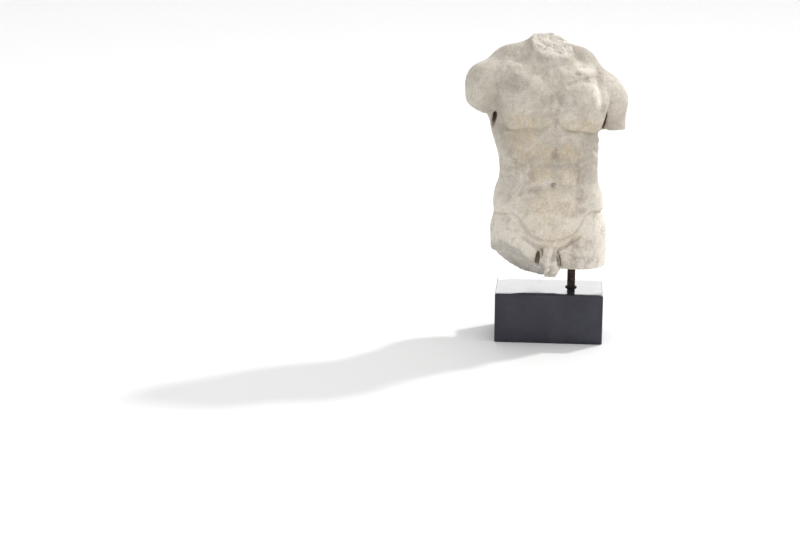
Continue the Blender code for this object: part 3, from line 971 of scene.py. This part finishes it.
def sawn_off(side, height):
    """A box of everything below that height, from that side outwards."""

    def build(work):
        low = Vector((side + 1.0, -150.0, height - 40.0))
        high = Vector((200.0, 150.0, height))
        place = Matrix.Translation((low + high) / 2 * UNIT + Vector((0.0, 0.0, CUT_HEIGHT)))
        bmesh.ops.create_cube(work, size=1.0, matrix=place @ Matrix.Diagonal((*((high - low) * UNIT), 1.0)))

    return build


def take_away(piece, *shapes):
    """Cuts shapes out of a piece."""
    cutters = [new_piece("cutter", shape) for shape in shapes]
    for cutter in cutters:
        cut = piece.modifiers.new("cut", "BOOLEAN")
        cut.operation = "DIFFERENCE"
        cut.object = cutter
    apply_modifiers(piece)
    for cutter in cutters:
        bpy.data.objects.remove(cutter)


take_away(torso, sawn_off(ARM_SIDE[0], ARM_CUT), sawn_off(THIGH_SIDE[0], 0.0), bore_shape)
torso.data.shade_smooth()
torso.data.set_sharp_from_angle(angle=math.radians(50))
torso.data.calc_loop_triangles()
print("torso:", len(torso.data.loop_triangles), "triangles")

# %% [markdown]
# ## Building materials from nodes
#
# A small helper makes a shader node and wires its inputs, so that each finish reads as a list of layers.

# %% Shader helpers
def new_material(name):
    """A material as (its nodes, its main shader, itself)."""
    made = bpy.data.materials.new(name)
    made.use_nodes = True
    return made.node_tree, made.node_tree.nodes["Principled BSDF"], made


def wire(tree, socket, value):
    """Gives a socket a number, a colour or the output of another node."""
    if isinstance(value, bpy.types.NodeSocket):
        tree.links.new(value, socket)
    elif isinstance(value, tuple) and len(value) == 3 and socket.type == "RGBA":
        socket.default_value = (*value, 1.0)
    else:
        socket.default_value = value


def shader_node(tree, kind, inputs=None, **settings):
    made = tree.nodes.new(kind)
    for name, value in settings.items():
        setattr(made, name, value)
    for name, value in (inputs or {}).items():
        wire(tree, made.inputs[name], value)
    return made


def coated(tree, amount, under, over):
    """One colour laid over another, as much as amount says."""
    made = tree.nodes.new("ShaderNodeMix")
    made.data_type = "RGBA"
    for index, value in ((0, amount), (6, under), (7, over)):
        wire(tree, made.inputs[index], value)
    return made.outputs[2]


def sums(tree, operation, a, b):
    """Two values added, subtracted or multiplied at every point."""
    made = tree.nodes.new("ShaderNodeMath")
    made.operation = operation
    wire(tree, made.inputs[0], a)
    wire(tree, made.inputs[1], b)
    return made.outputs[0]


def times(tree, a, b):
    return sums(tree, "MULTIPLY", a, b)


print("nodes, colours and sums ready")

# %% [markdown]
# ## Spreads, clouds and marks
#
# Every coat of a finish needs to know where it lies. Clouds of noise give natural patches, a spread turns
# their grey into a clear edge, and the marks that were stored on the skin say where the stone is broken,
# hollow or crusted. Grain that is too fine for the mesh is added as bumps.

# %% Spreads, clouds and marks
def between(tree, value, low, high, to_low=0.0, to_high=1.0):
    """A value spread from one range to another, and held at its ends."""
    made = shader_node(
        tree, "ShaderNodeMapRange",
        {"Value": value, "From Min": low, "From Max": high, "To Min": to_low, "To Max": to_high},
        interpolation_type="SMOOTHSTEP",
    )
    return made.outputs["Result"]


def clouds(tree, place, size, detail=4.0, roughness=0.55, swirl=0.0):
    """Soft noise whose patches are about size metres across."""
    made = shader_node(
        tree, "ShaderNodeTexNoise",
        {"Vector": place, "Scale": 1.0 / size, "Detail": detail, "Roughness": roughness, "Distortion": swirl},
    )
    return made.outputs["Fac"]


def own_place(tree):
    return shader_node(tree, "ShaderNodeTexCoord").outputs["Object"]


def mark(tree, name):
    """A mark that was stored on the skin."""
    return shader_node(tree, "ShaderNodeAttribute", attribute_name=name).outputs["Fac"]


def roughened(tree, shader, height, strength, distance):
    """Grain too fine for the mesh, up to distance metres high."""
    inputs = {"Height": height, "Strength": strength, "Distance": distance}
    bump = shader_node(tree, "ShaderNodeBump", inputs)
    wire(tree, shader.inputs["Normal"], bump.outputs["Normal"])


print("spreads, clouds and marks ready")

# %% [markdown]
# ## The coats of the marble
#
# Clean marble is almost white. This one has lain in the ground: it is warm beige-grey, paler low down,
# partly where it is worn and partly as painted light from the floor, with lilac-grey clouds, ochre crust and
# stains in patches, painted shade in its creases, hollows and chips, painted highlights on the right
# shoulder, brown dirt in its pits, and pinkish pale stone in the break of the neck. Such a finish is easiest
# to read as coats laid over one another, each with its own colour and its own amount.

# %% The coats of the marble
BEIGE = (0.48, 0.435, 0.358)
PALE = (0.79, 0.735, 0.64)
LILAC_GREY = (0.44, 0.385, 0.36)
OCHRE = (0.60, 0.465, 0.29)
STAIN_AND_SHADE = (0.36, 0.298, 0.262)
DIRT_AND_SHADE = (0.13, 0.09, 0.055)
STONE_GREY = (0.43, 0.41, 0.39)
HIGHLIGHT_PAINT = (0.88, 0.83, 0.74)
FRESH_BREAK = (0.75, 0.70, 0.63)
LOW_WEAR_AND_LIGHT = (0.84, 0.78, 0.675)
BROWN_MOTTLE = (0.37, 0.315, 0.26)
PALE_MOTTLE = (0.76, 0.72, 0.64)
BROWN_GRAIN = (0.38, 0.33, 0.265)
PALE_GRAIN = (0.78, 0.74, 0.66)
SHADED = (0.36, 0.30, 0.25)


def marble_coats(tree, place, patchy, fine, grain):
    """(amount, colour) of every coat over the beige stone, lowest first."""
    broad = clouds(tree, place, 0.09, detail=3.0)
    mottled = clouds(tree, place, 0.016, detail=8.0, roughness=0.72, swirl=0.2)
    height = shader_node(tree, "ShaderNodeSeparateXYZ", {"Vector": place}).outputs["Z"]
    # Paler towards the bottom: partly worn stone, partly painted light from the bright floor below.
    worn_and_lit_low = between(tree, height, 0.36, 0.20, 0.0, 0.9)
    paler = sums(tree, "ADD", worn_and_lit_low, between(tree, broad, 0.38, 0.66, 0.0, 0.6))
    crust = times(tree, mark(tree, "crust"), between(tree, patchy, 0.3, 0.52))
    crust = times(tree, crust, between(tree, fine, 0.44, 0.58, 0.1, 1.0))
    # Stains, together with painted shade in creases and on some darker parts of the body.
    stained_and_shaded = times(tree, mark(tree, "stain_and_shade"), between(tree, mottled, 0.42, 0.60, 0.1, 0.62))
    # Painted highlights on the shoulder and chest on the viewer's right.
    painted_highlight = times(tree, mark(tree, "painted_highlight"), between(tree, mottled, 0.62, 0.40, 0.35, 0.9))
    on_break = between(tree, mark(tree, "broken"), 0.2, 0.8)
    on_neck = between(tree, mark(tree, "neck_break"), 0.2, 0.8, 0.0, 0.85)
    fresh = coated(tree, between(tree, patchy, 0.48, 0.64, 0.0, 0.3), FRESH_BREAK, OCHRE)
    return (
        (paler, PALE),
        (between(tree, patchy, 0.46, 0.68, 0.0, 0.5), LILAC_GREY),
        (crust, OCHRE),
        (times(tree, worn_and_lit_low, 0.34), LOW_WEAR_AND_LIGHT),
        (stained_and_shaded, STAIN_AND_SHADE),
        (painted_highlight, HIGHLIGHT_PAINT),
        (times(tree, on_break, between(tree, patchy, 0.35, 0.6, 0.15, 0.5)), STONE_GREY),
        (on_neck, fresh),
        (between(tree, mottled, 0.50, 0.66, 0.0, 0.45), BROWN_MOTTLE),
        (between(tree, mottled, 0.48, 0.33, 0.0, 0.5), PALE_MOTTLE),
        (between(tree, grain, 0.42, 0.66, 0.0, 0.25), BROWN_GRAIN),
        (between(tree, grain, 0.46, 0.30, 0.0, 0.3), PALE_GRAIN),
        # Painted shade: the stone is darkened where little air lies over it, in creases and drilled hollows.
        # The pit mark adds dirt in pits and painted shade in chips.
        (between(tree, mark(tree, "hollow"), 0.04, 0.5, 0.0, 0.22), SHADED),
        (times(tree, mark(tree, "pit"), 0.22), DIRT_AND_SHADE),
        (between(tree, mark(tree, "hollow"), 0.46, 1.0, 0.0, 0.85), DIRT_AND_SHADE),
    )


print("marble coats from", BEIGE, "up to", HIGHLIGHT_PAINT)

# %% [markdown]
# ## Weathered marble
#
# The coats are laid in turn over the beige stone, which is dull and a little smoother in patches. Grain
# finer than the squares of the skin comes from bumps.

# %% Weathered marble
def weathered_marble():
    tree, shader, made = new_material("weathered_marble")
    place = own_place(tree)
    patchy = clouds(tree, place, 0.024, detail=6.0, roughness=0.65)
    fine = clouds(tree, place, 0.005, detail=4.0, roughness=0.7)
    grain = clouds(tree, place, 0.0034, detail=3.0, roughness=0.6)
    colour = BEIGE
    for amount, over in marble_coats(tree, place, patchy, fine, grain):
        colour = coated(tree, amount, colour, over)
    wire(tree, shader.inputs["Base Color"], colour)
    wire(tree, shader.inputs["Roughness"], between(tree, patchy, 0.3, 0.7, 0.66, 0.85))
    roughened(tree, shader, sums(tree, "ADD", fine, times(tree, grain, 0.5)), 0.85, 0.0025)
    return made


torso.data.materials.clear()
torso.data.materials.append(weathered_marble())
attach(torso, "root")
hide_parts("torso")
print("torso dressed")

# %% [markdown]
# ## Rod and collar
#
# The rod is a plain round bar of steel, gone dark and rusty. A thin ring closes the hole in the block. Both
# are turned on a lathe, so both are made as a profile spun round the rod's axis.

# %% Rod and collar
SPIN_STEPS = 64
collar_low, collar_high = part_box("rod_collar")
COLLAR_RADIUS = (collar_high[0] - collar_low[0]) / 2
ROD_EASE = 0.0006
COLLAR_EASE = 0.0007
BAR_STEPS = 60
BAR_WEAR = 0.00012
MOST_WEAR = 0.0001


def turned(name, profile, sharp_from, hollow=False):
    """(radius, height) points, lowest first, spun round the rod's axis. A hollow shape closes on itself."""

    def build(work):
        rings = []
        for radius, height in profile:
            ring = []
            for i in range(SPIN_STEPS):
                a = 2 * math.pi * i / SPIN_STEPS
                place = (ROD_X + radius * math.cos(a), ROD_Y + radius * math.sin(a), height)
                ring.append(work.verts.new(place))
            rings.append(ring)
        for low, high in zip(rings, [*rings[1:], rings[0]] if hollow else rings[1:]):
            for i in range(SPIN_STEPS):
                j = (i + 1) % SPIN_STEPS
                work.faces.new((low[i], low[j], high[j], high[i]))
        if not hollow:
            work.faces.new(list(reversed(rings[0])))
            work.faces.new(rings[-1])

    piece = new_piece(name, build)
    piece.data.shade_smooth()
    piece.data.set_sharp_from_angle(angle=math.radians(sharp_from))
    return piece


def bar_profile():
    """The bar, with its ends eased and the least unevenness of an old drawn bar along it."""
    low, high = rod_low[2], rod_high[2]
    profile = [(ROD_RADIUS - ROD_EASE, low), (ROD_RADIUS, low + ROD_EASE)]
    for i in range(1, BAR_STEPS):
        height = low + (high - low) * i / BAR_STEPS
        wear = BAR_WEAR * noise.fractal(Vector((0.0, 0.0, height / 0.01)), 1.0, 2.0, 3)
        profile.append((ROD_RADIUS + min(wear, MOST_WEAR), height))
    return [*profile, (ROD_RADIUS, high - ROD_EASE), (ROD_RADIUS - ROD_EASE, high)]


def ring_profile():
    inner, outer = ROD_RADIUS + HOLE_GAP, COLLAR_RADIUS
    low, high = collar_low[2], collar_high[2]
    rim = [(outer, high - COLLAR_EASE), (outer - COLLAR_EASE, high)]
    return [(inner, low), (outer, low), *rim, (inner + COLLAR_EASE, high), (inner, high - COLLAR_EASE)]


rod = turned("steel_rod", bar_profile(), sharp_from=35)
collar = turned("collar_ring", ring_profile(), sharp_from=30, hollow=True)
print("rod", round(ROD_RADIUS * 2000, 1), "mm and collar", round(COLLAR_RADIUS * 2000, 1), "mm across")

# %% [markdown]
# ## Old steel
#
# The bar is rusted brown and the ring is blackened. Rust isn't metal any more, so the finish turns from
# metal to dull brown where the rust lies. One function makes both, each from its own colours.

# %% Old steel
BLUED_STEEL = (0.030, 0.022, 0.022)
RUST = (0.075, 0.036, 0.028)
BLACK_STEEL = (0.025, 0.024, 0.026)
DULL_RUST = (0.07, 0.04, 0.03)
RUST_SPECKS = (0.16, 0.08, 0.045)


def old_steel(name, dark, rust, rust_from):
    tree, shader, made = new_material(name)
    place = own_place(tree)
    patchy = clouds(tree, place, 0.009, detail=6.0, roughness=0.65)
    specks = clouds(tree, place, 0.0015, detail=3.0)
    rusty = between(tree, patchy, rust_from, rust_from + 0.18)
    colour = coated(tree, rusty, dark, rust)
    colour = coated(tree, between(tree, specks, 0.58, 0.7, 0.0, 0.5), colour, RUST_SPECKS)
    wire(tree, shader.inputs["Base Color"], colour)
    wire(tree, shader.inputs["Metallic"], between(tree, rusty, 0.0, 1.0, 0.75, 0.1))
    wire(tree, shader.inputs["Roughness"], between(tree, patchy, 0.3, 0.7, 0.42, 0.78))
    roughened(tree, shader, specks, 0.35, 0.0004)
    return made


rod.data.materials.append(old_steel("rusted_steel", BLUED_STEEL, RUST, 0.42))
collar.data.materials.append(old_steel("blackened_steel", BLACK_STEEL, DULL_RUST, 0.58))
for piece, node, slot in ((rod, "support_rod", "support_rod"), (collar, "rod_collar", "rod_collar")):
    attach(piece, "root")
    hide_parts(node)
print("rod and collar dressed")

# %% [markdown]
# ## The block
#
# The block is sawn from black stone, with its edges eased. A bevel on a cube gives exactly that. The cube
# is cut into squares first, so that its large faces stay flat, and the socket for the rod is cut last.

# %% The block
block_low, block_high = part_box("base_block")
EDGE_RADIUS = 0.003


def block_shape(work):
    size = [block_high[i] - block_low[i] for i in range(3)]
    centre = [(block_high[i] + block_low[i]) / 2 for i in range(3)]
    bmesh.ops.create_cube(work, size=1.0, matrix=Matrix.Translation(centre) @ Matrix.Diagonal((*size, 1.0)))
    bmesh.ops.subdivide_edges(work, edges=work.edges[:], cuts=7, use_grid_fill=True)


def socket_shape(work):
    round_bar(work, ROD_RADIUS + HOLE_GAP, rod_low[2] - HOLE_GAP, block_high[2] + DRILL_RUN / 2)


base = new_piece("stone_block", block_shape)
eased = base.modifiers.new("eased_edges", "BEVEL")
eased.width = EDGE_RADIUS
eased.segments = 5
eased.limit_method = "ANGLE"
eased.harden_normals = True
base.data.shade_smooth()
take_away(base, socket_shape)
base.data.set_sharp_from_angle(angle=math.radians(35))
print("block", [round((block_high[i] - block_low[i]) * 1000) for i in range(3)], "mm")

# %% [markdown]
# ## Black stone
#
# The sides of the block are honed dull. Its top mirrors the white studio, so it shows almost white in the
# photograph, and so the finish is smoother where the stone faces up. A plain black would look like plastic,
# so faint clouds and a few small crystals break it up.

# %% Black stone
DEEP_BLACK = (0.012, 0.012, 0.024)
WORN_BLACK = (0.024, 0.024, 0.038)
CRYSTALS = (0.16, 0.16, 0.18)


def black_stone():
    tree, shader, made = new_material("black_stone")
    place = own_place(tree)
    broad = clouds(tree, place, 0.05, detail=5.0)
    fine = clouds(tree, place, 0.0022, detail=3.0)
    specks = clouds(tree, place, 0.0011, detail=1.0)
    colour = coated(tree, between(tree, broad, 0.35, 0.7), DEEP_BLACK, WORN_BLACK)
    colour = coated(tree, between(tree, specks, 0.68, 0.76, 0.0, 0.6), colour, CRYSTALS)
    facing = shader_node(tree, "ShaderNodeNewGeometry").outputs["Normal"]
    upwards = shader_node(tree, "ShaderNodeSeparateXYZ", {"Vector": facing}).outputs["Z"]
    top = between(tree, upwards, 0.7, 0.98)
    honed = between(tree, broad, 0.3, 0.7, 0.36, 0.46)
    wire(tree, shader.inputs["Base Color"], colour)
    wire(tree, shader.inputs["Roughness"], sums(tree, "SUBTRACT", honed, times(tree, top, 0.26)))
    roughened(tree, shader, fine, 0.12, 0.0003)
    return made


base.data.materials.append(black_stone())
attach(base, "root")
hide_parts("base_block")
print("block dressed")
